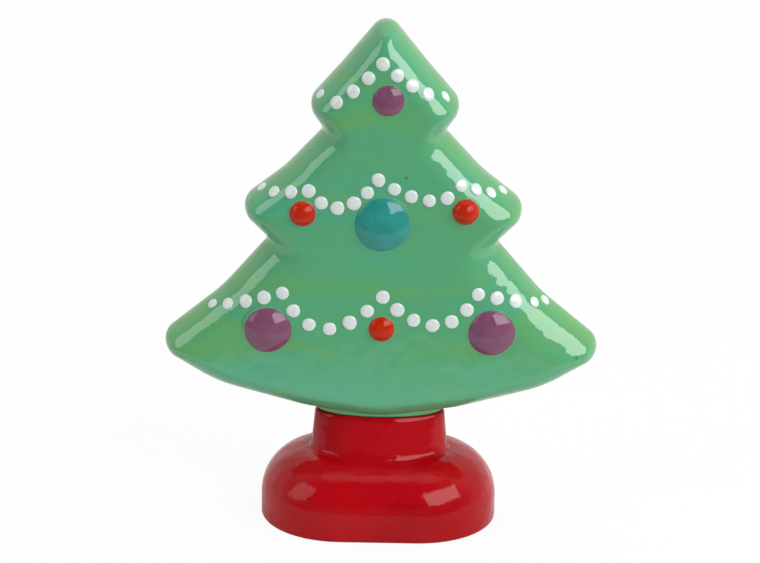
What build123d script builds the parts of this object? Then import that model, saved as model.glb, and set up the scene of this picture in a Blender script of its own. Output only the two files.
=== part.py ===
from build123d import *
import math
import os

# A tabletop ceramic christmas tree in two slip castings: a green, pillow-shaped tree with three tiers,
# and a red trunk stand whose open neck takes the plug under the tree. Raised round ornaments and swags
# of white beads are luted to the tree's front.
# Millimetres. The origin is the middle of the foot's underside, +Z is up and the front faces -Y.

# Trunk stand
foot_length = 52.0
foot_depth = 36.8
foot_height = 16.3
# flat stretch left at each end between the foot's rounded corners
foot_end_flat = 1.4
foot_shoulder_radius = 11.0
foot_edge_radius = 1.0
stand_height = 25.0
stand_wall = 4.0
neck_length = 28.6
neck_depth = 13.0
neck_wall = 2.4
neck_rim_radius = 0.7
neck_root_length = 30.6
neck_root_depth = 24.4
neck_root_sink = 1.5
# share of the way up from the neck's root to its rim, share of the root's flare
neck_flare_shares = [(0.0, 1.0), (0.25, 0.70), (0.5, 0.44), (0.75, 0.21), (1.0, 0.0)]

# Tree outline, before its corners are rounded
tree_span = 100.8
tree_rise = 92.5
tree_underside_height = 23.85
top_radius = 3.5
skirt_radius = 32.0
tip_radius = 4.0
notch_radius = 1.8
belly_radius = 30.0
least_radius = 1.6
# the most of an edge that the roundings of its two corners may take together
rounding_edge_share = 0.98
# how fast a notch opens out as the outline is drawn in
notch_opening_share = 0.6
# corners of the right half from the top down: share of the half span, share of the rise, rounding
outline_corner_shares = [
    (0.000, 1.000, "top"),
    (0.188, 0.872, "skirt"),
    (0.338, 0.777, "tip"),
    (0.260, 0.715, "notch"),
    (0.425, 0.617, "skirt"),
    (0.639, 0.525, "tip"),
    (0.492, 0.445, "notch"),
    (0.695, 0.315, "skirt"),
    (1.000, 0.178, "tip"),
    (0.717, 0.085, "belly"),
    (0.339, 0.029, "belly"),
    (0.000, 0.000, "belly"),
]

# Tree section: a flat front and back, with a rounded shoulder all round that is wider on the lower tiers
upper_shoulder_width = 6.8
middle_shoulder_width = 7.8
lower_shoulder_width = 8.6
under_shoulder_width = 5.0
shoulder_depth = 8.2
tree_wall = 3.2
# the shoulder on each edge of the right half from the top down
edge_shoulders = [
    "upper", "upper", "under", "middle", "middle", "under", "lower", "lower", "under", "under", "under"
]
# shares of a right angle at which the shoulder is sectioned
shoulder_turn_shares = [0.0, 0.2, 0.4, 0.6, 0.8, 1.0]

# Plug under the tree, in the neck of the stand
plug_clearance = 0.3
plug_length = 7.0
plug_chamfer = 0.8
collar_height = 5.0
collar_recess = 0.5
drain_length = 12.0
drain_width = 3.0

# Ornaments: round buttons luted to the front
teal_diameter = 12.2
teal_relief = 1.9
purple_diameter = 10.4
purple_relief = 1.8
top_purple_diameter = 7.0
top_purple_relief = 1.2
red_diameter = 5.7
red_relief = 1.3
# how far a button reaches under its seat, of its diameter, before the tree's surface trims it
button_root_share = 0.35
# share of the half span, share of the rise, diameter, relief
ornament_shares = {
    "ornament_top_purple": (0.014, 0.809, top_purple_diameter, top_purple_relief),
    "ornament_middle_left_red": (-0.346, 0.531, red_diameter, red_relief),
    "ornament_middle_teal": (-0.003, 0.507, teal_diameter, teal_relief),
    "ornament_middle_right_red": (0.353, 0.542, red_diameter, red_relief),
    "ornament_bottom_left_purple": (-0.490, 0.240, purple_diameter, purple_relief),
    "ornament_bottom_centre_red": (0.001, 0.248, red_diameter, red_relief),
    "ornament_bottom_right_purple": (0.478, 0.242, purple_diameter, purple_relief),
}

# Garlands: swags of beads that sag between hooks on the front
bead_diameter = 3.1
bead_relief = 0.8
# share of the half span, share of the rise of each hook from left to right
garland_hook_shares = {
    "top": [(-0.276, 0.806), (-0.012, 0.896), (0.256, 0.810)],
    "middle": [(-0.524, 0.571), (-0.321, 0.586), (-0.023, 0.617), (0.332, 0.604), (0.512, 0.575)],
    "bottom": [(-0.734, 0.284), (-0.429, 0.333), (0.004, 0.328), (0.416, 0.338), (0.708, 0.303)],
}
# how far each swag leans to the right, of the half span, and hangs below its hooks, of the rise
garland_swag_shares = {
    "top": [(-0.114, 0.049), (0.059, 0.021)],
    "middle": [(-0.168, 0.008), (-0.011, 0.054), (0.084, 0.042), (0.124, 0.014)],
    "bottom": [(-0.199, 0.018), (-0.063, 0.085), (0.052, 0.074), (0.227, 0.015)],
}
garland_step_counts = {"top": [4, 4], "middle": [3, 5, 5, 3], "bottom": [4, 6, 6, 4]}


def corner_radius(kind, inset):
    """The rounding of one corner of the outline after it is drawn in by the inset."""
    if kind == "notch":
        return notch_radius + notch_opening_share * inset
    if kind == "skirt":
        return skirt_radius + inset
    start = {"top": top_radius, "tip": tip_radius, "belly": belly_radius}[kind]
    return max(start - inset, least_radius)


def neighbours(points):
    """Each point of a closed outline with the one before it and the one after it."""
    return list(zip(points[-1:] + points[:-1], points, points[1:] + points[:1]))


def fitted_radii(points, radii):
    """The roundings of a closed outline, drawn back where two of them would overrun their edge."""
    bites = []
    for (before, corner, after), radius in zip(neighbours(points), radii):
        half_turn = math.radians((corner - before).get_angle(after - corner)) / 2
        bites.append(radius * math.tan(half_turn))
    shares = []
    for trio, (bite_before, bite, bite_after) in zip(neighbours(points), neighbours(bites)):
        before, corner, after = trio
        room_before = rounding_edge_share * (corner - before).length / (bite_before + bite)
        room_after = rounding_edge_share * (after - corner).length / (bite + bite_after)
        shares.append(min(1, room_before, room_after))
    return [radius * share for radius, share in zip(radii, shares)]


def inset_corner(trio, inset_before, inset_after):
    """Where the edges at the middle one of three corners meet, once each has moved inwards by its inset."""
    before, corner, after = trio
    edges = [(corner - before).normalized(), (after - corner).normalized()]
    inward = [Vector(edge.Y, -edge.X) for edge in edges]
    alike = inward[0].dot(inward[1])
    shared = (inward[0] + inward[1]) * ((inset_before + inset_after) / 2 / (1 + alike))
    apart = (inward[0] - inward[1]) * ((inset_before - inset_after) / 2 / (1 - alike))
    return corner + shared + apart


def tree_section(wall, turn):
    """The rounded tree outline inside a wall, at one turn of the shoulder's quarter ellipse to the front."""
    right = [(Vector(x * tree_span / 2, z * tree_rise), kind) for x, z, kind in outline_corner_shares]
    left = [(Vector(-place.X, place.Y), kind) for place, kind in reversed(right[1:-1])]
    places = [place for place, kind in right + left]
    kinds = [kind for place, kind in right + left]
    widths = [shoulder_widths[shoulder] for shoulder in edge_shoulders + edge_shoulders[::-1]]
    insets = [wall + (width - wall) * (1 - math.cos(turn)) for width in widths]
    pairs = list(zip(insets[-1:] + insets[:-1], insets))
    points = [inset_corner(trio, *pair) for trio, pair in zip(neighbours(places), pairs)]
    radii = [corner_radius(kind, sum(pair) / 2) for kind, pair in zip(kinds, pairs)]
    outline = FilletPolyline(*points, radius=fitted_radii(points, radii), close=True)
    depth = (shoulder_depth - wall) * math.sin(turn)
    return Plane.XZ.offset(depth) * Pos(Y=tree_underside_height) * make_face(outline)


def pillow(wall):
    """The tree with its rounded shoulder and flat front and back, drawn in on every side by the wall."""
    front = [share * math.pi / 2 for share in shoulder_turn_shares]
    back = [-turn for turn in reversed(front[1:])]
    return loft([tree_section(wall, turn) for turn in back + front])


def oval_column(length, depth, bottom, top):
    """A straight oval column between two heights."""
    return Pos(Z=bottom) * extrude(Ellipse(length / 2, depth / 2), top - bottom)


def make_stand():
    """The trunk stand: a rounded foot, a flared oval neck, and one hollow right through both."""
    foot = extrude(RectangleRounded(foot_length, foot_depth, foot_corner_radius), foot_height)
    foot = fillet(foot.faces().sort_by(Axis.Z)[-1].edges(), foot_shoulder_radius)
    foot = fillet(foot.faces().sort_by(Axis.Z)[0].edges(), foot_edge_radius)
    root_height = foot_height - neck_root_sink
    rows = []
    for rise, flare in neck_flare_shares:
        length = neck_length + flare * (neck_root_length - neck_length)
        depth = neck_depth + flare * (neck_root_depth - neck_depth)
        height = root_height + rise * (stand_height - root_height)
        rows.append(Pos(Z=height) * Ellipse(length / 2, depth / 2))
    neck = loft(rows)
    neck = fillet(neck.faces().sort_by(Axis.Z)[-1].edges(), neck_rim_radius)
    hollow_plan = RectangleRounded(
        foot_length - 2 * stand_wall, foot_depth - 2 * stand_wall, foot_corner_radius - stand_wall
    )
    hollow = extrude(hollow_plan, foot_height - stand_wall)
    hollow = fillet(hollow.faces().sort_by(Axis.Z)[-1].edges(), foot_shoulder_radius - stand_wall)
    socket = oval_column(socket_length, socket_depth, 0, stand_height)
    return foot + neck - hollow - socket


def make_tree(form):
    """The tree casting: the pillow form on an oval collar, cut flat at the seam, with its plug and hollow."""
    collar = oval_column(
        neck_length - 2 * collar_recess,
        neck_depth - 2 * collar_recess,
        stand_height,
        stand_height + collar_height,
    )
    body = split(form + collar, Plane.XY.offset(stand_height), keep=Keep.TOP)
    across = socket_length - 2 * plug_clearance
    through = socket_depth - 2 * plug_clearance
    end_height = stand_height - plug_length
    lead_height = end_height + plug_chamfer
    plug = oval_column(across, through, lead_height, stand_height)
    lead_end = Ellipse(across / 2 - plug_chamfer, through / 2 - plug_chamfer)
    lead_in = loft([Pos(Z=end_height) * lead_end, Pos(Z=lead_height) * Ellipse(across / 2, through / 2)])
    drain = Pos(Z=end_height) * extrude(SlotOverall(drain_length, drain_width), plug_length + collar_height)
    return body + plug + lead_in - pillow(tree_wall) - drain


def front_seat(x, z):
    """The plane that touches the tree's front at a place across and above the middle of its underside."""
    line = Axis((x, -tree_span, tree_underside_height + z), (0, 1, 0))
    point, normal = min(tree_form.shell().find_intersection_points(line), key=lambda hit: hit[0].Y)
    return Plane(origin=point, z_dir=normal)


def button(x, z, diameter, relief):
    """A low round dome seated on the tree's front, trimmed to the surface that carries it."""
    radius = diameter / 2
    root = button_root_share * diameter
    dome = TangentArc((0, relief), (radius, 0), tangent=(1, 0))
    side = Polyline((radius, 0), (radius, -root), (0, -root), (0, relief))
    blank = revolve(make_face(Plane.XZ * (Curve() + [dome, side])), Axis.Z)
    return front_seat(x, z) * blank - tree_form


def garland_places(hooks, swags, counts):
    """Bead places along a garland: even steps along each swag, which is a parabola between two hooks."""
    places = [hooks[0]]
    for start, end, (lean, sag), count in zip(hooks, hooks[1:], swags, counts):
        swag = Bezier(start, (start + end) / 2 + Vector(lean, -2 * sag), end)
        for step in range(count):
            distance = swag.length * (step + 1) / count
            places.append(swag.position_at(distance, position_mode=PositionMode.LENGTH))
    return places


foot_corner_radius = (foot_depth - foot_end_flat) / 2
socket_length = neck_length - 2 * neck_wall
socket_depth = neck_depth - 2 * neck_wall
shoulder_widths = {
    "upper": upper_shoulder_width,
    "middle": middle_shoulder_width,
    "lower": lower_shoulder_width,
    "under": under_shoulder_width,
}
tree_form = pillow(0)

pieces = {"trunk_stand": make_stand(), "tree_shell": make_tree(tree_form)}
for name, (x_share, z_share, diameter, relief) in ornament_shares.items():
    pieces[name] = button(x_share * tree_span / 2, z_share * tree_rise, diameter, relief)
for garland, hook_shares in garland_hook_shares.items():
    hooks = [Vector(x * tree_span / 2, z * tree_rise) for x, z in hook_shares]
    swags = [(lean * tree_span / 2, sag * tree_rise) for lean, sag in garland_swag_shares[garland]]
    for number, place in enumerate(garland_places(hooks, swags, garland_step_counts[garland]), 1):
        pieces[f"bead_{garland}_{number}"] = button(place.X, place.Y, bead_diameter, bead_relief)

os.makedirs("parts", exist_ok=True)
for name, piece in pieces.items():
    export_step(piece, f"parts/{name}.step")
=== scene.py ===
"""A glazed ceramic christmas tree on its red trunk stand: the visible surfaces, glazes and studio."""

import math

import bmesh
import bpy
import numpy as np
from mathutils import Matrix, Vector


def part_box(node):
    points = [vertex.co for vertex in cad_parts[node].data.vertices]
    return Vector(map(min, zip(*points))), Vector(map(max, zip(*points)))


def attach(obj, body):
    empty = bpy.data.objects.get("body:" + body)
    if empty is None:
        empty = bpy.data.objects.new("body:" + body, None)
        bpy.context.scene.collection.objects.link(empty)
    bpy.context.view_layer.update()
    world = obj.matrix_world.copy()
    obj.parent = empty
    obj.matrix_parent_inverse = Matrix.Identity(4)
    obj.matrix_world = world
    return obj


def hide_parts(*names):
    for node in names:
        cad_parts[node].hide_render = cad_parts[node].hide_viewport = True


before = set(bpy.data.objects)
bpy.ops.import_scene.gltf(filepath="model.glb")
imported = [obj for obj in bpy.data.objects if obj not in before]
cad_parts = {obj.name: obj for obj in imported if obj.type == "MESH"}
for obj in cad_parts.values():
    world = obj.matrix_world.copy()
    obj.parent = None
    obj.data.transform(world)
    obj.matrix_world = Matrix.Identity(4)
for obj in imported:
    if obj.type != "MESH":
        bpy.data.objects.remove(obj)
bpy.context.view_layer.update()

bl_info = {
    "name": "Ceramic Christmas Tree",
    "version": (1, 0, 0),
    "blender": (4, 5, 0),
    "location": "3D View > Sidebar > Ceramic Tree",
    "description": "Builds a glazed ceramic tree with ornaments and bead garlands on a trunk stand",
    "category": "Add Mesh",
}

# Places read from the frame
STAND_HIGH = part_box("trunk_stand")[1]
TREE_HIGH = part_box("tree_shell")[1]
SEAM_HEIGHT = STAND_HIGH.z

# A length too small to see, which keeps two sizes from being equal
HAIR = 1e-6

# Corners of the tree's right half from the top down: share of the half span, share of the rise, rounding
OUTLINE_CORNER_SHARES = [
    (0.000, 1.000, "top"),
    (0.188, 0.872, "skirt"),
    (0.338, 0.777, "tip"),
    (0.260, 0.715, "notch"),
    (0.425, 0.617, "skirt"),
    (0.639, 0.525, "tip"),
    (0.492, 0.445, "notch"),
    (0.695, 0.315, "skirt"),
    (1.000, 0.178, "tip"),
    (0.717, 0.085, "belly"),
    (0.339, 0.029, "belly"),
    (0.000, 0.000, "belly"),
]
# The shoulder on each edge of the right half from the top down
EDGE_SHOULDERS = [
    "upper", "upper", "under", "middle", "middle", "under", "lower", "lower", "under", "under", "under"
]
# Radius of each rounding on the outermost outline, and how it changes per length of inset
ROUNDINGS = {
    "top": (0.0035, -1.0),
    "skirt": (0.0320, 1.0),
    "tip": (0.0040, -1.0),
    "notch": (0.0018, 0.6),
    "belly": (0.0300, -1.0),
}
LEAST_ROUNDING = 0.0016
# The most of an edge that the roundings of its two corners may take together
ROUNDING_EDGE_SHARE = 0.98
# Where the crown is highest and how far up it reaches, as shares of the rise
CROWN_MIDDLE_SHARE = 0.42
CROWN_REACH_SHARE = 0.6
# Slow waves in the casting: share of the waver, radians per metre across and up, and start in radians
WAVER_WAVES = [(1.0, 310, 170, 0.0), (1.0, -190, 430, 1.3), (0.6, 760, -520, 0.4)]

# Rings on each stretch of the stand's profile
STAND_ROWS = {
    "edge": 7, "wall": 6, "shoulder": 40, "neck": 30, "rim": 7, "lip": 5, "bore": 8,
    "vault": 14, "hollow": 5,
}
# How the neck's rings crowd towards its root
NECK_ROW_POWER = 1.6
# How fast the foot's outline narrows above the foot, and the share of its corner that it may lose
FOOT_NARROWING = 3
FOOT_NARROWEST_SHARE = 0.97

# Above the seam, the height that is clear of the collar
CLEAR_OF_COLLAR = 0.006
# Waves round the rim of an ornament or a bead that make it stray from round
STRAY_WAVES = (2, 3, 4)
ORNAMENT_COLUMNS = 96
ORNAMENT_UNEVENNESS_SHARE = 0.4
BEAD_COLUMNS = 40
BEAD_SIZE_SPREAD_SHARE = 0.04
BEAD_SIZE_SEED = 7
BEAD_OUTLINE_SEED = 100

GARLANDS = ["top", "middle", "bottom"]
# Each ornament glaze's colour and refractive index
ORNAMENT_PAINTS = {
    "purple_glaze": ("purple", 1.45),
    "teal_glaze": ("teal", 1.45),
    "orange_red_glaze": ("orange_red", 1.3),
}
ORNAMENT_GLAZES = {
    "ornament_top_purple": "purple_glaze",
    "ornament_middle_left_red": "orange_red_glaze",
    "ornament_middle_teal": "teal_glaze",
    "ornament_middle_right_red": "orange_red_glaze",
    "ornament_bottom_left_purple": "purple_glaze",
    "ornament_bottom_centre_red": "orange_red_glaze",
    "ornament_bottom_right_purple": "purple_glaze",
}

# Pinholes in the green and the red glaze
GREEN_PIT = (0.02, 0.09, 0.06)
RED_PIT = (0.06, 0.0, 0.0)

# The table top's half width and its depth behind the tree, its two whites and its painted shade strip at
# the front
TABLE_SIDE = 1.2
TABLE_BACK = 1.6
TABLE_WHITE = (0.85, 0.85, 0.85)
TABLE_PALE = (0.87, 0.87, 0.87)
TABLE_SHADE_STRIP_GREY = (0.5, 0.5, 0.5)
TABLE_SHADE_STRIP_END_SHARE = 0.6
# How much of the table's own white the camera sees in place of its shading
TABLE_GLOW_SHARE = 0.92
# Light level of the room, and what the low wall in front and the sweep behind add to it
ROOM_LEVEL = 0.14
WALL_LEVEL = 0.2
SWEEP_LEVEL = 0.8
# Where the sweep sets in from front to back, and where the wall ends, on a unit sphere of directions
SWEEP_DEPTHS = (-0.5, 0.3)
WALL_TOP_HEIGHTS = (0.21, 0.27)
# Each softbox's place, width, height and power
SOFTBOXES = {
    "right_softbox": ((0.62, -0.60, 0.585), 1.0, 0.6, 10.2),
    "left_softbox": ((-0.83, -0.35, 0.51), 0.42, 0.62, 1.8),
    "top_softbox": ((0.0, -0.1, 1.2), 1.0, 0.42, 0.9),
}
SOFTBOX_AIM = (0, 0, 0.07)
SENSOR_WIDTH = 36


def length_property(name, description, default):
    """A length that a user can change, in metres."""
    return bpy.props.FloatProperty(
        name=name, description=description, default=default, unit="LENGTH", precision=5
    )


def colour_property(name, description, default):
    """A colour that a user can change."""
    return bpy.props.FloatVectorProperty(
        name=name, description=description, default=default, subtype="COLOR", min=0, max=1
    )


def share_property(name, description, default):
    """A share from 0 to 1 that a user can change."""
    return bpy.props.FloatProperty(
        name=name, description=description, default=default, subtype="FACTOR", min=0, max=1
    )


def angle_property(name, description, degrees):
    """An angle that a user can change."""
    return bpy.props.FloatProperty(
        name=name, description=description, default=math.radians(degrees), subtype="ANGLE"
    )


class TreeShape(bpy.types.PropertyGroup):
    span: length_property("Span", "Width across the lowest tips before rounding", 0.1008)
    rise: length_property("Rise", "Height of the tree before rounding", 0.0925)
    underside: length_property("Underside", "Height of the tree's lowest corner", 0.02385)
    half_depth: length_property("Half depth", "From the middle plane to the front's flat", TREE_HIGH.y)
    upper: length_property("Upper shoulder", "Width of the shoulder on the upper skirt", 0.0064)
    middle: length_property("Middle shoulder", "Width of the shoulder on the middle skirt", 0.0074)
    lower: length_property("Lower shoulder", "Width of the shoulder on the lower skirt", 0.0105)
    under: length_property("Under shoulder", "Width of the shoulder on edges that face down", 0.0050)
    crown: length_property("Crown", "How far the front swells in its middle", 0.0006)
    waver: length_property("Waver", "Unevenness left in the casting by hand finishing", 0.000015)


class StandShape(bpy.types.PropertyGroup):
    foot_length: length_property("Foot length", "Foot from left to right", 2 * STAND_HIGH.x)
    foot_depth: length_property("Foot depth", "Foot from front to back", 2 * STAND_HIGH.y)
    foot_height: length_property("Foot height", "Height of the foot's shoulder", 0.0160)
    end_flat: length_property("End flat", "Flat stretch between the corners of a foot's end", 0.0014)
    shoulder: length_property("Shoulder radius", "Rounding over the top of the foot", 0.011)
    edge: length_property("Edge radius", "Rounding under the foot", 0.001)
    wall: length_property("Wall", "Thickness of the foot's wall", 0.004)
    neck_length: length_property("Neck length", "Neck from left to right", 0.0286)
    neck_depth: length_property("Neck depth", "Neck from front to back", 0.013)
    neck_wall: length_property("Neck wall", "Thickness of the neck's wall", 0.0024)
    rim: length_property("Rim radius", "Rounding of the neck's rim", 0.0005)
    side_draft: length_property("Side draft", "How far the neck's sides flare at its root", 0.0008)
    front_draft: length_property("Front draft", "How far the neck's front flares at its root", 0.0026)
    blend: length_property("Blend", "Softness of the crease between the foot and the neck", 0.0012)


class PlugShape(bpy.types.PropertyGroup):
    clearance: length_property("Clearance", "Gap between the plug and the neck's bore", 0.0003)
    length: length_property("Length", "How deep the plug reaches into the neck", 0.007)
    chamfer: length_property("Chamfer", "Bevel at the plug's end", 0.0008)
    collar: length_property("Collar height", "Collar between the seam and the tree's belly", 0.005)
    recess: length_property("Collar recess", "How far the collar stands back from the neck", 0.0005)
    drain_length: length_property("Drain length", "Length of the drain slot", 0.012)
    drain_width: length_property("Drain width", "Width of the drain slot", 0.003)


class DecorationShape(bpy.types.PropertyGroup):
    button_fillet: length_property("Button fillet", "Glaze pooled round the foot of an ornament", 0.0004)
    button_relief: share_property("Button relief", "Height of an ornament, of its casting's", 1.0)
    bead_relief: length_property("Bead relief", "Height of a bead", 0.0004)
    unevenness: share_property("Unevenness", "How far beads and ornaments stray from round", 0.035)


class GlazeColours(bpy.types.PropertyGroup):
    green: colour_property("Green", "Body colour of the tree", (0.079, 0.355, 0.163))
    teal_wash: colour_property("Teal wash", "Cooler brush strokes on the tree", (0.060, 0.355, 0.234))
    leaf_wash: colour_property("Leaf wash", "Warmer brush strokes on the tree", (0.118, 0.355, 0.098))
    red: colour_property("Red", "Trunk stand", (0.390, 0.001, 0.005))
    red_pool: colour_property("Red pool", "Red where the glaze runs thick", (0.325, 0.0, 0.003))
    white: colour_property("White", "Beads", (0.670, 0.745, 0.720))
    purple: colour_property("Purple", "Purple ornaments", (0.190, 0.061, 0.128))
    teal: colour_property("Teal", "Teal ornament", (0.018, 0.255, 0.225))
    orange_red: colour_property("Orange red", "Small red ornaments", (0.485, 0.018, 0.001))


class StudioSettings(bpy.types.PropertyGroup):
    distance: length_property("Distance", "From the camera to the point that it looks at", 0.9)
    elevation: angle_property("Elevation", "Camera above the horizon", 19.5)
    roll: angle_property("Roll", "Tilt of the camera about its own axis", 1.0)
    aim_side: length_property("Aim side", "Point looked at, to the side of the middle", -0.00044)
    aim_height: length_property("Aim height", "Point looked at, above the table", 0.0547)
    lens: bpy.props.FloatProperty(
        name="Lens", description="Focal length of the camera", default=194.4, unit="CAMERA"
    )
    table_front: length_property("Table front", "From the tree to the table's front edge", 0.115)


# Meshes


def add_piece(name, grid, poles=None, values=None, folded=False):
    """A mesh on a grid of rows and columns. Columns close into rings. The first and last rows close
    onto the two poles, or onto each other where there are none. On a folded grid they lie doubled on a
    line instead, and are welded there. Values are attributes with one number per grid point, and a
    pole takes the mean of its ring."""
    rows, columns = grid.shape[:2]
    number = np.arange(rows * columns).reshape(rows, columns)
    if poles is None and not folded:
        lower, upper = number, np.roll(number, -1, axis=0)
    else:
        lower, upper = number[:-1], number[1:]
    corners = [lower, np.roll(lower, -1, axis=1), np.roll(upper, -1, axis=1), upper]
    faces = np.stack(corners, axis=-1).reshape(-1, 4).tolist()
    points = grid.reshape(-1, 3)
    if poles is not None:
        first, last = rows * columns, rows * columns + 1
        start, end = number[0], number[-1]
        faces += np.stack([np.full(columns, first), np.roll(start, -1), start], axis=-1).tolist()
        faces += np.stack([np.full(columns, last), end, np.roll(end, -1)], axis=-1).tolist()
        points = np.vstack([points, poles])
    mesh = bpy.data.meshes.new(name)
    mesh.from_pydata(points.tolist(), [], faces)
    mesh.polygons.foreach_set("use_smooth", np.ones(len(faces), bool))
    for label, value in (values or {}).items():
        layer = mesh.attributes.new(label, "FLOAT", "POINT")
        flat = np.asarray(value, np.float32).reshape(-1)
        if poles is not None:
            flat = np.append(flat, [flat[:columns].mean(), flat[-columns:].mean()])
        layer.data.foreach_set("value", flat.astype(np.float32))
    if folded:
        weld(mesh)
    face_outwards(mesh)
    mesh.update()
    piece = bpy.data.objects.new(name, mesh)
    bpy.context.scene.collection.objects.link(piece)
    return piece


def weld(mesh, reach=1e-7):
    """Joins the points of a mesh that lie in the same place."""
    work = bmesh.new()
    work.from_mesh(mesh)
    bmesh.ops.remove_doubles(work, verts=work.verts, dist=reach)
    work.to_mesh(mesh)
    work.free()


def face_outwards(mesh):
    """Turns the faces over where the closed mesh has a negative volume: the sum of each triangle's
    corners' triple product, over six."""
    mesh.calc_loop_triangles()
    points = np.empty(len(mesh.vertices) * 3)
    mesh.vertices.foreach_get("co", points)
    triangles = np.empty(len(mesh.loop_triangles) * 3, int)
    mesh.loop_triangles.foreach_get("vertices", triangles)
    a, b, c = np.moveaxis(points.reshape(-1, 3)[triangles.reshape(-1, 3)], 1, 0)
    if np.einsum("ij,ij->i", a, np.cross(b, c)).sum() < 0:
        mesh.flip_normals()


def join_pieces(name, pieces):
    """One object out of several, which keep their attributes."""
    with bpy.context.temp_override(active_object=pieces[0], selected_editable_objects=pieces):
        bpy.ops.object.join()
    pieces[0].name = name
    return pieces[0]


# Tree casting


def unit(vectors):
    """Vectors over their lengths."""
    return vectors / np.linalg.norm(vectors, axis=-1, keepdims=True)


def inset_corners(shape, turns):
    """The tree's corners at each turn of the shoulder, with their kinds, edges and mean insets. Every
    edge moves inwards by its shoulder's width times one minus the turn's cosine, and the corners are
    where neighbouring edges meet again."""
    half_span = shape.span / 2
    right = [(x * half_span, shape.underside + z * shape.rise) for x, z, _ in OUTLINE_CORNER_SHARES]
    kinds = [kind for _, _, kind in OUTLINE_CORNER_SHARES]
    corners = np.array(right + [(-x, z) for x, z in reversed(right[1:-1])])
    edge = unit(np.roll(corners, -1, axis=0) - corners)
    inward = np.stack([edge[:, 1], -edge[:, 0]], axis=-1)
    inward_before = np.roll(inward, 1, axis=0)
    alike = np.sum(inward * inward_before, axis=-1)
    widths = np.array([getattr(shape, shoulder) for shoulder in EDGE_SHOULDERS + EDGE_SHOULDERS[::-1]])
    insets = widths * (1 - np.cos(turns))[:, None]
    insets_before = np.roll(insets, 1, axis=1)
    mean = (insets_before + insets) / 2
    shared = (inward_before + inward) * (mean / (1 + alike))[..., None]
    apart = (inward_before - inward) * ((insets_before - insets) / 2 / (1 - alike))[..., None]
    return corners + shared + apart, kinds + kinds[-2:0:-1], edge, mean


def outline_rings(shape, turns, arc_points=13, edge_points=12):
    """The tree's outline at each turn of the shoulder: each corner is a circular arc that touches both
    of its edges, drawn back where two arcs would overrun the edge between them."""
    places, kinds, edge, insets = inset_corners(shape, turns)
    start, growth = np.array([ROUNDINGS[kind] for kind in kinds]).T
    radius = np.maximum(start + growth * insets, LEAST_ROUNDING)
    arriving = np.broadcast_to(np.roll(edge, 1, axis=0), places.shape)
    leaving = np.broadcast_to(edge, places.shape)
    turn = np.arccos(np.clip(np.sum(arriving * leaving, axis=-1), -1, 1))
    bite = radius * np.tan(turn / 2)
    length = np.linalg.norm(np.roll(places, -1, axis=1) - places, axis=-1)
    room = ROUNDING_EDGE_SHARE * length / (bite + np.roll(bite, -1, axis=1))
    fit = np.minimum(1, np.minimum(room, np.roll(room, 1, axis=1)))
    radius, bite = radius * fit, bite * fit
    inner = unit(leaving - arriving * np.cos(turn)[..., None])
    angle = turn[..., None] * np.linspace(0, 1, arc_points)
    along = (radius[..., None] * np.sin(angle) - bite[..., None])[..., None] * arriving[..., None, :]
    across = (radius[..., None] * (1 - np.cos(angle)))[..., None] * inner[..., None, :]
    arcs = places[..., None, :] + along + across
    step = np.linspace(0, 1, edge_points + 2)[1:-1, None]
    begin = arcs[:, :, -1, None, :]
    finish = np.roll(arcs[:, :, 0], -1, axis=1)[:, :, None, :]
    runs = begin + step * (finish - begin)
    return np.concatenate([arcs, runs], axis=2).reshape(len(turns), -1, 2)


def swell(shape, x, z):
    """How far the front and back stand out at a place: the flat depth, plus a crown that falls off with
    the square of the distance from the middle, plus a slow waver, which is a sum of sines."""
    middle = shape.underside + CROWN_MIDDLE_SHARE * shape.rise
    fall = (x / (shape.span / 2)) ** 2 + ((z - middle) / (CROWN_REACH_SHARE * shape.rise)) ** 2
    waves = sum(size * np.sin(across * x + up * z + start) for size, across, up, start in WAVER_WAVES)
    return shape.half_depth + shape.crown * (1 - fall) + shape.waver * waves


def tree_surface(shape, shoulder_rows=28, face_rows=30):
    """The pillow: rings of the outline along a quarter ellipse, from the middle plane to the front, and
    then rings that narrow level by level onto the spine in the middle of the face. The back is the
    same, mirrored."""
    turns = quarter_turn(shoulder_rows)
    rings = outline_rings(shape, turns)
    narrow = np.linspace(1, 0, face_rows + 1)[1:, None]
    x = np.concatenate([rings[..., 0], narrow * rings[-1, :, 0]])
    z = np.concatenate([rings[..., 1], np.repeat(rings[-1:, :, 1], face_rows, axis=0)])
    lift = np.concatenate([np.sin(turns), np.ones(face_rows)])
    depth = swell(shape, x, z) * lift[:, None]
    z = soft_floor(z, SEAM_HEIGHT)
    front = np.stack([x, -depth, z], axis=-1)
    back = np.stack([x, depth, z], axis=-1)[:0:-1]
    return np.concatenate([back, front])


def soft_floor(height, level, blend=0.0003):
    """Heights held above a level, with a rounded change: the level plus half the sum of the excess and
    the root of its square plus a squared blend."""
    excess = height - level
    return level + (excess + np.sqrt(excess**2 + blend**2)) / 2


def oval(angle, half_length, half_depth):
    """The polar radius of an ellipse: the product of its half axes, over the root of the summed squares
    of the half depth times the cosine and the half length times the sine."""
    return half_length * half_depth / np.hypot(half_depth * np.cos(angle), half_length * np.sin(angle))


def rounded_box(angle, half_length, half_depth, corner):
    """The polar radius of a rectangle with round corners: a flat side, or the far hit on the corner's
    circle."""
    least = np.finfo(float).eps
    across, up = np.abs(np.cos(angle)), np.abs(np.sin(angle))
    side = half_length / np.maximum(across, least)
    top = half_depth / np.maximum(up, least)
    centre_x, centre_y = half_length - corner, half_depth - corner
    reach = centre_x * across + centre_y * up
    arc = reach + np.sqrt(np.maximum(corner**2 - centre_x**2 - centre_y**2 + reach**2, 0))
    return np.where(side * up <= centre_y, side, np.where(top * across <= centre_x, top, arc))


def quarter_turn(rows):
    """Even angles from nothing to a right angle."""
    return np.linspace(0, np.pi / 2, rows)


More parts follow.
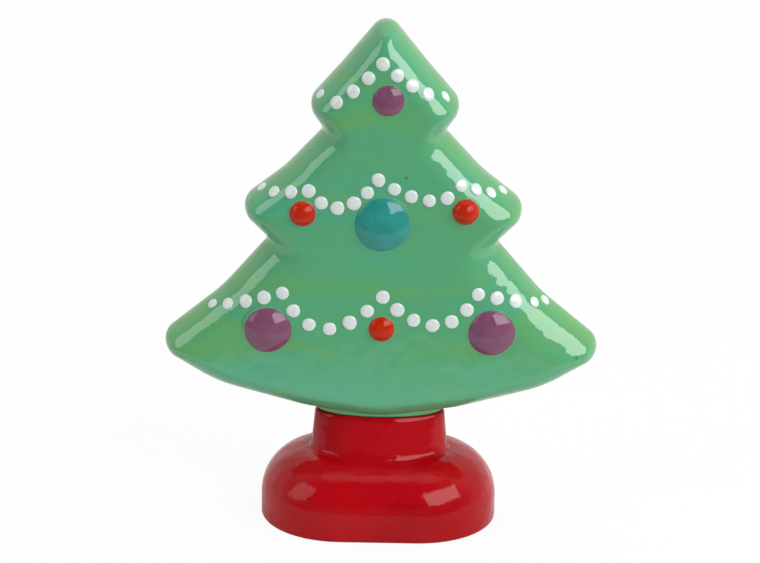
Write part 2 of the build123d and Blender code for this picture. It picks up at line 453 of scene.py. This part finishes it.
def lathe(radii, heights, angle):
    """Rings of a polar radius at heights: the radius times the angle's cosine and sine."""
    radii = np.asarray(radii)
    level = np.broadcast_to(np.asarray(heights)[:, None], radii.shape)
    return np.stack([radii * np.cos(angle), radii * np.sin(angle), level], axis=-1)


def plug_surface(plug, stand, columns=180, lip_rows=6):
    """The collar under the belly, the seat on the neck's rim, the plug with its bevel, and the drain
    slot, as oval rings from the top of the collar, round the outside, and up into the slot."""
    angle = np.linspace(0, 2 * np.pi, columns, endpoint=False)
    collar_length = stand.neck_length / 2 - plug.recess
    collar_depth = stand.neck_depth / 2 - plug.recess
    plug_length = stand.neck_length / 2 - stand.neck_wall - plug.clearance
    plug_depth = stand.neck_depth / 2 - stand.neck_wall - plug.clearance
    lip = plug.chamfer / 2
    end = SEAM_HEIGHT - plug.length
    slot_end = plug.drain_width / 2
    slot = rounded_box(angle, plug.drain_length / 2, slot_end, slot_end - HAIR)
    radii = [oval(angle, collar_length, collar_depth)]
    heights = [SEAM_HEIGHT + plug.collar]
    for turn in quarter_turn(lip_rows):
        back = lip * (1 - np.cos(turn))
        radii.append(oval(angle, collar_length - back, collar_depth - back))
        heights.append(SEAM_HEIGHT + lip * (1 - np.sin(turn)))
    plug_rows = [
        (0, SEAM_HEIGHT),
        (0, SEAM_HEIGHT - lip),
        (0, end + plug.chamfer),
        (plug.chamfer, end),
    ]
    for back, height in plug_rows:
        radii.append(oval(angle, plug_length - back, plug_depth - back))
        heights.append(height)
    radii += [slot, slot, slot]
    heights += [end, end + lip, SEAM_HEIGHT]
    grid = lathe(radii, heights, angle)
    poles = [(0, 0, SEAM_HEIGHT + plug.collar), (0, 0, SEAM_HEIGHT)]
    return grid, poles


# Trunk stand


def stand_surface(stand, columns=288):
    """One closed profile carried round the plan: up the outside of the foot, over its shoulder, up the
    drafted neck, over the rim, down the bore, and back through the hollow under the foot. A ring is a
    rounded box in the foot and an oval in the neck. Over the shoulder it is the larger of both, softened
    where they cross: half of their sum and of the root of their squared difference plus a squared blend.
    Above the foot the box goes on narrowing, so that the softening dies away."""
    angle = np.linspace(0, 2 * np.pi, columns, endpoint=False)
    half_length, half_depth = stand.foot_length / 2, stand.foot_depth / 2
    corner = half_depth - stand.end_flat / 2
    neck_length, neck_depth = stand.neck_length / 2, stand.neck_depth / 2
    radii, heights = [], []

    def box_ring(inset, height):
        radii.append(rounded_box(angle, half_length - inset, half_depth - inset, corner - inset))
        heights.append(height)

    def oval_ring(length, depth, height):
        radii.append(oval(angle, length, depth))
        heights.append(height)

    def joined_ring(inset, height):
        below = 1 - np.clip((height - stand.foot_height) / (SEAM_HEIGHT - stand.foot_height), 0, 1)
        box = rounded_box(angle, half_length - inset, half_depth - inset, corner - inset)
        neck = oval(angle, neck_length + below * stand.side_draft, neck_depth + below * stand.front_draft)
        radii.append((box + neck + np.hypot(box - neck, below * stand.blend)) / 2)
        heights.append(height)

    # Up the outside of the foot
    for turn in quarter_turn(STAND_ROWS["edge"]):
        box_ring(stand.edge * (1 - np.sin(turn)), stand.edge * (1 - np.cos(turn)))
    wall_top = stand.foot_height - stand.shoulder
    for height in np.linspace(stand.edge, wall_top, STAND_ROWS["wall"])[1:]:
        box_ring(0, height)
    # Over the shoulder and up the neck
    for turn in quarter_turn(STAND_ROWS["shoulder"])[1:]:
        joined_ring(stand.shoulder * (1 - np.cos(turn)), wall_top + stand.shoulder * np.sin(turn))
    for share in np.linspace(0, 1, STAND_ROWS["neck"])[1:] ** NECK_ROW_POWER:
        rise = share * (SEAM_HEIGHT - stand.rim - stand.foot_height)
        inset = min(stand.shoulder + FOOT_NARROWING * rise, FOOT_NARROWEST_SHARE * corner)
        joined_ring(inset, stand.foot_height + rise)
    # Over the rim and into the bore
    for turn in quarter_turn(STAND_ROWS["rim"])[1:]:
        back = stand.rim * (1 - np.cos(turn))
        oval_ring(neck_length - back, neck_depth - back, SEAM_HEIGHT - stand.rim * (1 - np.sin(turn)))
    bore_length, bore_depth = neck_length - stand.neck_wall, neck_depth - stand.neck_wall
    lip = stand.rim / 2
    for turn in quarter_turn(STAND_ROWS["lip"]):
        back = lip * (1 - np.sin(turn))
        oval_ring(bore_length + back, bore_depth + back, SEAM_HEIGHT - lip * (1 - np.cos(turn)))
    ceiling = stand.foot_height - stand.wall
    for height in np.linspace(SEAM_HEIGHT - stand.rim, ceiling + stand.rim, STAND_ROWS["bore"]):
        oval_ring(bore_length, bore_depth, height)
    # Down the hollow's vault and its wall
    vault = stand.shoulder - stand.wall
    for turn in quarter_turn(STAND_ROWS["vault"])[-2::-1]:
        box_ring(stand.wall + vault * (1 - np.cos(turn)), ceiling - vault * (1 - np.sin(turn)))
    for height in np.linspace(ceiling - vault, 0, STAND_ROWS["hollow"])[1:]:
        box_ring(stand.wall, height)
    return lathe(radii, heights, angle)


# Ornaments and beads


def quadratic_terms(across, up):
    """One, the two offsets, their squares and their product, in the order that a fit gives them."""
    return np.stack([np.ones_like(across), across, up, across**2, across * up, up**2], axis=-1)


def front_patch(tree_points, x, z, reach=0.0016, cut=3):
    """A quadratic fitted to the tree's front round a place: depth as a function of the offsets across
    and up. A point counts by a bell curve of its distance over the reach, out to the cut."""
    near = tree_points[np.hypot(tree_points[:, 0] - x, tree_points[:, 2] - z) < cut * reach]
    across, up = near[:, 0] - x, near[:, 2] - z
    weight = np.exp(-(across**2 + up**2) / (2 * reach**2))
    terms = quadratic_terms(across, up) * weight[:, None]
    return np.linalg.lstsq(terms, near[:, 1] * weight, rcond=None)[0]


def seated_dome(tree_points, x, z, profile, unevenness, seed, columns):
    """A profile of radius and height turned about the tree's surface normal at a place. Each ring strays
    from round by slow waves, and every point stands on the surface below it."""
    fit = front_patch(tree_points, x, z)
    normal = unit(np.array([fit[1], -1.0, fit[2]]))
    side = -unit(np.cross(normal, [0, 0, 1]))
    up = np.cross(side, normal)
    chance = np.random.default_rng(seed)
    angle = np.linspace(0, 2 * np.pi, columns, endpoint=False)
    stray = np.zeros(columns)
    for wave in STRAY_WAVES:
        size = chance.normal(0, unevenness / wave)
        stray += size * np.cos(wave * angle + chance.uniform(0, 2 * np.pi))
    radius = profile[:, 0, None] * (1 + stray)
    offset = (radius * np.cos(angle))[..., None] * side + (radius * np.sin(angle))[..., None] * up
    across, rise = offset[..., 0], offset[..., 2]
    base = quadratic_terms(across, rise) @ fit
    ground = np.stack([x + across, base, z + rise], axis=-1)
    grid = ground + profile[:, 1, None, None] * normal
    seat = np.array([x, fit[0], z])
    poles = [seat + profile[0, 1] * normal, seat + profile[-1, 1] * normal]
    return grid, poles


def button_profile(radius, relief, fillet, dome_rows=22, fillet_rows=9):
    """Radius and height from the crown outwards: a cap of a ball, a hollow fillet that runs out onto the
    tree, and a root under the surface. The ball's radius is the sum of the squared radius and the squared
    relief over twice the relief. The fillet widens and sinks by a power of the way along it. The third
    column is 0 on the cap and rises to 1 along the fillet."""
    first_ring_share, fillet_power, sink_share = 0.02, 1.5, 0.01
    root_shares = np.array([(1.0, 0.25), (0.3, 0.3)])
    ball = (radius**2 + relief**2) / (2 * relief)
    rim_turn = math.acos((ball - relief) / ball) - fillet / ball
    turn = np.linspace(first_ring_share, 1, dome_rows) * rim_turn
    dome_radius, dome_height = ball * np.sin(turn), relief - ball * (1 - np.cos(turn))
    sweep = np.linspace(0, 1, fillet_rows)[1:]
    fillet_radius = dome_radius[-1] + (radius + fillet - dome_radius[-1]) * sweep**fillet_power
    fillet_height = dome_height[-1] * (1 - sweep) ** fillet_power - sink_share * relief
    root_radius = root_shares[:, 0] * np.array([radius + fillet, radius])
    root_height = -root_shares[:, 1] * relief
    return np.concatenate([
        np.stack([dome_radius, dome_height, np.zeros_like(turn)], axis=-1),
        np.stack([fillet_radius, fillet_height, sweep], axis=-1),
        np.stack([root_radius, root_height, np.ones_like(root_radius)], axis=-1),
    ])


def bead_profile(radius, relief, rows=12):
    """Radius and height of a drop of slip: a low dome with a steep edge, and a root under the surface.
    The dome is a quarter turn's sine and cosine, each raised to a power under one."""
    first_turn, plump, steep = 0.06, 0.9, 0.85
    root_shares = np.array([(0.97, -0.35), (0.4, -0.45)])
    turn = np.linspace(first_turn, np.pi / 2, rows)
    dome = np.stack([radius * np.sin(turn) ** plump, relief * np.cos(turn) ** steep], axis=-1)
    return np.concatenate([dome, root_shares * (radius, relief)])


# Glazes


class Wire:
    """A socket in a node tree. Arithmetic on wires adds Math nodes."""

    def __init__(self, tree, socket=None):
        self.tree = tree
        self.socket = socket

    def node(self, kind, settings=None, inputs=None, output=0):
        """Adds a node of a kind: first its settings, then its inputs' values or links."""
        made = self.tree.nodes.new(kind)
        for name, value in (settings or {}).items():
            setattr(made, name, value)
        for name, value in (inputs or {}).items():
            if isinstance(value, Wire):
                self.tree.links.new(value.socket, made.inputs[name])
            else:
                made.inputs[name].default_value = value
        return Wire(self.tree, made.outputs[output]) if made.outputs else made

    def math(self, operation, first, second=0.0):
        """A Math node's result on one or two values."""
        return self.node("ShaderNodeMath", {"operation": operation}, {0: first, 1: second})

    def __add__(self, other):
        return self.math("ADD", self, other)

    __radd__ = __add__

    def __sub__(self, other):
        return self.math("SUBTRACT", self, other)

    def __rsub__(self, other):
        return self.math("SUBTRACT", other, self)

    def __mul__(self, other):
        return self.math("MULTIPLY", self, other)

    __rmul__ = __mul__

    def span(self, low, high):
        """This value from low to high as 0 to 1, eased at both ends."""
        settings = {"interpolation_type": "SMOOTHSTEP"}
        inputs = {"Value": self, "From Min": low, "From Max": high}
        return self.node("ShaderNodeMapRange", settings, inputs)

    def blend(self, first, second):
        """The first colour where this value is 0 and the second where it is 1."""
        opaque = [c if isinstance(c, Wire) else (*c, 1) for c in (first, second)]
        factor, first_colour, second_colour, mixed_colour = 0, 6, 7, 2
        inputs = {factor: self, first_colour: opaque[0], second_colour: opaque[1]}
        return self.node("ShaderNodeMix", {"data_type": "RGBA"}, inputs, output=mixed_colour)


def object_place(start, stretch=(1, 1, 1), turn=0.0):
    """Object coordinates stretched along the axes and turned about the depth axis."""
    place = start.node("ShaderNodeTexCoord", output="Object")
    inputs = {"Vector": place, "Scale": stretch, "Rotation": (0, turn, 0)}
    return start.node("ShaderNodeMapping", {}, inputs)


def noise(start, place, scale=1.0, detail=2.0, roughness=0.5, warp=0.0):
    """Smooth noise about a half, at a scale in features per metre of the place's own stretch."""
    inputs = {"Vector": place, "Scale": scale, "Detail": detail}
    inputs |= {"Roughness": roughness, "Distortion": warp}
    return start.node("ShaderNodeTexNoise", {}, inputs)


def specks(start, scale, size, amount, core=0.4):
    """1 in small scattered spots, faded from their core outwards: near a cell's middle, in the share of
    cells whose own number is low."""
    cells = start.node("ShaderNodeTexVoronoi", {}, {"Vector": object_place(start), "Scale": scale})
    colour = Wire(start.tree, cells.socket.node.outputs["Color"])
    number = start.node("ShaderNodeSeparateColor", {}, {"Color": colour})
    chosen = start.math("LESS_THAN", number, amount)
    return chosen * (1 - cells.span(core * size, size))


def ripple_height(start, broad=220, fine=900, fine_share=0.08):
    """The slow ripple of a fired glaze: broad noise and a little fine noise."""
    broad_ripple = noise(start, object_place(start), scale=broad, detail=1.0)
    fine_ripple = noise(start, object_place(start), scale=fine)
    return broad_ripple + fine_share * fine_ripple


def finish_glaze(start, colour, gloss=0.06, index=1.6, depth=0.0003):
    """A glossy coloured body whose reflections waver with the ripple of the glaze."""
    ripple = {"Strength": 0.5, "Distance": depth, "Height": ripple_height(start)}
    bump = start.node("ShaderNodeBump", {}, ripple)
    inputs = {"Base Color": colour, "Roughness": gloss, "IOR": index, "Normal": bump}
    shader = start.node("ShaderNodeBsdfPrincipled", {}, inputs)
    start.node("ShaderNodeOutputMaterial", {}, {"Surface": shader})


def new_glaze(name):
    """An empty material, and a wire to start its nodes from."""
    material = bpy.data.materials.new(name)
    material.use_nodes = True
    material.node_tree.nodes.clear()
    return material, Wire(material.node_tree)


def brushed_green(start, colours):
    """Green glaze brushed on in strokes: stretched noise lays cool and warm bands over the body colour,
    warmer along the rim, with a few dark pinholes."""
    stroke_place = object_place(start, stretch=(14, 10, 110), turn=0.10)
    strokes = noise(start, stroke_place, detail=4.0, roughness=0.55, warp=0.6)
    band_place = object_place(start, stretch=(20, 10, 80), turn=-0.15)
    bands = noise(start, band_place, detail=3.0, warp=0.8)
    hair_place = object_place(start, stretch=(40, 10, 800), turn=0.06)
    hairs = noise(start, hair_place, detail=3.0, roughness=0.6, warp=0.3) - 0.5
    cool = (strokes + 0.16 * hairs).span(0.46, 0.68)
    warm = (bands + 0.14 * hairs).span(0.50, 0.70)
    colour = (0.75 * cool).blend(colours.green, colours.teal_wash)
    colour = (0.7 * warm).blend(colour, colours.leaf_wash)
    depth = start.node("ShaderNodeSeparateXYZ", {}, {"Vector": object_place(start)}, output="Y")
    rim = 1 - start.math("ABSOLUTE", depth).span(0.2 * TREE_HIGH.y, 0.85 * TREE_HIGH.y)
    colour = (rim * (0.2 + 0.8 * bands)).blend(colour, colours.leaf_wash)
    pits = specks(start, scale=210, size=0.11, amount=0.035)
    return (0.6 * pits).blend(colour, GREEN_PIT)


def green_glaze(colours):
    """The tree's brushed green."""
    material, start = new_glaze("green_glaze")
    finish_glaze(start, brushed_green(start, colours), depth=0.0004)
    return material


def red_glaze(colours):
    """Deep red that runs darker in slow patches and fine brush lines round the stand."""
    material, start = new_glaze("trunk_red_glaze")
    patches = noise(start, object_place(start, stretch=(40, 40, 70)), detail=3.0)
    hairs = noise(start, object_place(start, stretch=(50, 50, 800)), roughness=0.6) - 0.5
    thick = (patches + 0.15 * hairs).span(0.40, 0.66)
    colour = thick.blend(colours.red, colours.red_pool)
    pits = specks(start, scale=260, size=0.10, amount=0.02)
    colour = (0.6 * pits).blend(colour, RED_PIT)
    finish_glaze(start, colour, gloss=0.10, index=1.29, depth=0.0006)
    return material


def button_glaze(name, shade, index, colours):
    """An ornament's colour, mottled, which gives way to the tree's green on the fillet round its foot."""
    material, start = new_glaze(name)
    mottle = noise(start, object_place(start), scale=420, detail=4.0, roughness=0.6)
    deep = tuple(0.90 * c for c in shade)
    pale = tuple(min(1.0, 1.06 * c + 0.002) for c in shade)
    paint = mottle.span(0.3, 0.7).blend(deep, pale)
    foot = start.node("ShaderNodeAttribute", {"attribute_name": "foot"}, output="Fac")
    wander = noise(start, object_place(start), scale=1500, detail=1.0) - 0.5
    edge = (foot + 0.3 * wander).span(0.45, 0.6)
    colour = edge.blend(paint, brushed_green(start, colours))
    finish_glaze(start, colour, index=index)
    return material


def bead_glaze(colours):
    """White slip with a fine grain, a little duller in places."""
    material, start = new_glaze("white_glaze")
    grain = noise(start, object_place(start), scale=1700, detail=3.0, roughness=0.6)
    dull = tuple(0.90 * c for c in colours.white)
    colour = grain.span(0.3, 0.75).blend(colours.white, dull)
    finish_glaze(start, colour, gloss=0.12)
    return material


# Operators


def settle(piece, material, body, slot, *nodes):
    """Gives a piece its glaze and its body, and hides the nodes that it stands for. The slot is not used.
    """
    piece.data.materials.clear()
    piece.data.materials.append(material)
    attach(piece, body)
    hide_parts(*nodes)


def front_points():
    """The points of the tree casting's front half, without its collar and plug."""
    mesh = bpy.data.objects["tree_casting"].data
    points = np.empty(len(mesh.vertices) * 3)
    mesh.vertices.foreach_get("co", points)
    points = points.reshape(-1, 3)
    return points[(points[:, 1] < 0) & (points[:, 2] > SEAM_HEIGHT + CLEAR_OF_COLLAR)]


def node_place(node):
    """Where a node sits on the front, and its diameter and relief there."""
    low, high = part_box(node)
    centre, size = (low + high) / 2, high - low
    return centre.x, centre.z, max(size.x, size.z), size.y


class MakeTreeCasting(bpy.types.Operator):
    """Make the green tree with its collar and plug"""

    bl_idname = "ceramic_tree.make_tree_casting"
    bl_label = "Tree casting"

    def execute(self, context):
        scene = context.scene
        pillow = add_piece("tree_casting", tree_surface(scene.ceramic_tree), folded=True)
        plug = add_piece("tree_plug", *plug_surface(scene.ceramic_plug, scene.ceramic_stand))
        casting = join_pieces("tree_casting", [pillow, plug])
        settle(casting, green_glaze(scene.ceramic_colours), "tree", "green_glaze", "tree_shell")
        return {"FINISHED"}


class MakeStandCasting(bpy.types.Operator):
    """Make the red trunk stand"""

    bl_idname = "ceramic_tree.make_stand_casting"
    bl_label = "Trunk stand"

    def execute(self, context):
        scene = context.scene
        casting = add_piece("stand_casting", stand_surface(scene.ceramic_stand))
        settle(casting, red_glaze(scene.ceramic_colours), "stand", "trunk_red_glaze", "trunk_stand")
        return {"FINISHED"}


class MakeOrnaments(bpy.types.Operator):
    """Make the round ornaments on the tree's front"""

    bl_idname = "ceramic_tree.make_ornaments"
    bl_label = "Ornaments"

    def execute(self, context):
        scene = context.scene
        shape, colours = scene.ceramic_decoration, scene.ceramic_colours
        glazes = {}
        for name, (paint, index) in ORNAMENT_PAINTS.items():
            glazes[name] = button_glaze(name, getattr(colours, paint), index, colours)
        points = front_points()
        unevenness = ORNAMENT_UNEVENNESS_SHARE * shape.unevenness
        for seed, (node, glaze) in enumerate(ORNAMENT_GLAZES.items()):
            x, z, diameter, relief = node_place(node)
            profile = button_profile(diameter / 2, shape.button_relief * relief, shape.button_fillet)
            grid, poles = seated_dome(points, x, z, profile, unevenness, seed, ORNAMENT_COLUMNS)
            foot = np.repeat(profile[:, 2, None], grid.shape[1], axis=1)
            button = add_piece(node.replace("ornament", "button"), grid, poles, {"foot": foot})
            settle(button, glazes[glaze], "tree", glaze, node)
        return {"FINISHED"}


class MakeGarlands(bpy.types.Operator):
    """Make the three swags of white beads"""

    bl_idname = "ceramic_tree.make_garlands"
    bl_label = "Garlands"

    def execute(self, context):
        scene = context.scene
        shape = scene.ceramic_decoration
        points = front_points()
        glaze = bead_glaze(scene.ceramic_colours)
        chance = np.random.default_rng(BEAD_SIZE_SEED)
        for garland in GARLANDS:
            prefix = f"bead_{garland}_"
            nodes = [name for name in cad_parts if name.startswith(prefix)]
            nodes.sort(key=lambda name: int(name.removeprefix(prefix)))
            beads = []
            for seed, node in enumerate(nodes, BEAD_OUTLINE_SEED):
                x, z, diameter, _ = node_place(node)
                radius = diameter / 2 * chance.normal(1.0, BEAD_SIZE_SPREAD_SHARE)
                profile = bead_profile(radius, shape.bead_relief)
                grid, poles = seated_dome(points, x, z, profile, shape.unevenness, seed, BEAD_COLUMNS)
                beads.append(add_piece(node + "_drop", grid, poles))
            swag = join_pieces(f"garland_{garland}", beads)
            settle(swag, glaze, "tree", "white_glaze", *nodes)
        return {"FINISHED"}


class MakeStudio(bpy.types.Operator):
    """Make the table, the lights, the backdrop and the camera"""

    bl_idname = "ceramic_tree.make_studio"
    bl_label = "Studio"

    def execute(self, context):
        settings = context.scene.ceramic_studio
        make_table(settings)
        make_world()
        make_lights()
        make_camera(settings)
        context.scene.view_settings.view_transform = "Standard"
        return {"FINISHED"}


def make_table(settings):
    """A white table top that ends a little in front of the tree, with a strip of painted shade that greys
    it towards that edge.
    """
    mesh = bpy.data.meshes.new("table_top")
    front = -settings.table_front
    near = [(-TABLE_SIDE, front, 0), (TABLE_SIDE, front, 0)]
    far = [(TABLE_SIDE, TABLE_BACK, 0), (-TABLE_SIDE, TABLE_BACK, 0)]
    mesh.from_pydata(near + far, [], [(0, 1, 2, 3)])
    table = bpy.data.objects.new("table_top", mesh)
    bpy.context.scene.collection.objects.link(table)
    material, start = new_glaze("table_white")
    grain = noise(start, object_place(start), scale=60)
    depth = start.node("ShaderNodeSeparateXYZ", {}, {"Vector": object_place(start)}, output="Y")
    shade = grain.blend(TABLE_WHITE, TABLE_PALE)
    # Painted shade: the table greys towards its front edge
    shade = depth.span(front, TABLE_SHADE_STRIP_END_SHARE * front).blend(TABLE_SHADE_STRIP_GREY, shade)
    paper = start.node("ShaderNodeBsdfDiffuse", {}, {"Color": shade})
    glow = start.node("ShaderNodeEmission", {}, {"Color": (1, 1, 1, 1), "Strength": 1.0})
    camera = start.node("ShaderNodeLightPath", output="Is Camera Ray")
    mixed = start.node("ShaderNodeMixShader", {}, {0: TABLE_GLOW_SHARE * camera, 1: paper, 2: glow})
    start.node("ShaderNodeOutputMaterial", {}, {"Surface": mixed})
    mesh.materials.append(material)


def make_world():
    """White to the camera. To the glaze it is a white sweep behind the tree, and in front of it a pale
    low wall under a dim room."""
    world = bpy.data.worlds.new("studio")
    world.use_nodes = True
    world.node_tree.nodes.clear()
    start = Wire(world.node_tree)
    direction = start.node("ShaderNodeTexCoord", output="Generated")
    depth = start.node("ShaderNodeSeparateXYZ", {}, {"Vector": direction}, output="Y")
    height = start.node("ShaderNodeSeparateXYZ", {}, {"Vector": direction}, output="Z")
    camera = start.node("ShaderNodeLightPath", output="Is Camera Ray")
    sweep = depth.span(*SWEEP_DEPTHS)
    wall = WALL_LEVEL * (1 - height.span(*WALL_TOP_HEIGHTS))
    level = ROOM_LEVEL + wall + (SWEEP_LEVEL - wall) * sweep
    strength = start.math("MINIMUM", camera + level, 1.0)
    back = start.node("ShaderNodeBackground", {}, {"Color": (1, 1, 1, 1), "Strength": strength})
    start.node("ShaderNodeOutputWorld", {}, {"Surface": back})
    bpy.context.scene.world = world


def add_softbox(name, place, width, height, power):
    """A rectangular lamp that faces the tree."""
    lamp = bpy.data.lights.new(name, "AREA")
    lamp.shape = "RECTANGLE"
    lamp.size = width
    lamp.size_y = height
    lamp.energy = power
    box = bpy.data.objects.new(name, lamp)
    box.location = place
    box.rotation_euler = (Vector(SOFTBOX_AIM) - Vector(place)).to_track_quat("-Z", "Y").to_euler()
    bpy.context.scene.collection.objects.link(box)


def make_lights():
    """Softboxes to the right, to the left and overhead."""
    for name, settings in SOFTBOXES.items():
        add_softbox(name, *settings)


def make_camera(settings):
    """A long lens in front of the tree and a little above it."""
    data = bpy.data.cameras.new("camera")
    data.lens = settings.lens
    data.sensor_width = SENSOR_WIDTH
    data.sensor_fit = "HORIZONTAL"
    camera = bpy.data.objects.new("camera", data)
    aim = Vector((settings.aim_side, 0, settings.aim_height))
    back = Vector((0, -math.cos(settings.elevation), math.sin(settings.elevation)))
    turn = (-back).to_track_quat("-Z", "Y").to_matrix().to_4x4() @ Matrix.Rotation(settings.roll, 4, "Z")
    camera.matrix_world = Matrix.Translation(aim + settings.distance * back) @ turn
    bpy.context.scene.collection.objects.link(camera)
    bpy.context.scene.camera = camera


class CeramicTreePanel(bpy.types.Panel):
    bl_idname = "VIEW3D_PT_ceramic_tree"
    bl_label = "Ceramic Tree"
    bl_space_type = "VIEW_3D"
    bl_region_type = "UI"
    bl_category = "Ceramic Tree"

    def draw(self, context):
        for operator in OPERATORS:
            self.layout.operator(operator.bl_idname)
        for label, group in GROUPS.items():
            box = self.layout.box()
            settings = getattr(context.scene, label)
            for name in group.__annotations__:
                box.prop(settings, name)


GROUPS = {
    "ceramic_tree": TreeShape,
    "ceramic_stand": StandShape,
    "ceramic_plug": PlugShape,
    "ceramic_decoration": DecorationShape,
    "ceramic_colours": GlazeColours,
    "ceramic_studio": StudioSettings,
}
OPERATORS = [MakeTreeCasting, MakeStandCasting, MakeOrnaments, MakeGarlands, MakeStudio]


def register():
    for label, group in GROUPS.items():
        bpy.utils.register_class(group)
        setattr(bpy.types.Scene, label, bpy.props.PointerProperty(type=group))
    for operator in OPERATORS:
        bpy.utils.register_class(operator)
    bpy.utils.register_class(CeramicTreePanel)


def unregister():
    bpy.utils.unregister_class(CeramicTreePanel)
    for operator in reversed(OPERATORS):
        bpy.utils.unregister_class(operator)
    for label, group in reversed(GROUPS.items()):
        delattr(bpy.types.Scene, label)
        bpy.utils.unregister_class(group)


def main():
    register()
    bpy.ops.ceramic_tree.make_tree_casting()
    bpy.ops.ceramic_tree.make_stand_casting()
    bpy.ops.ceramic_tree.make_ornaments()
    bpy.ops.ceramic_tree.make_garlands()
    bpy.ops.ceramic_tree.make_studio()


if __name__ == "__main__":
    main()
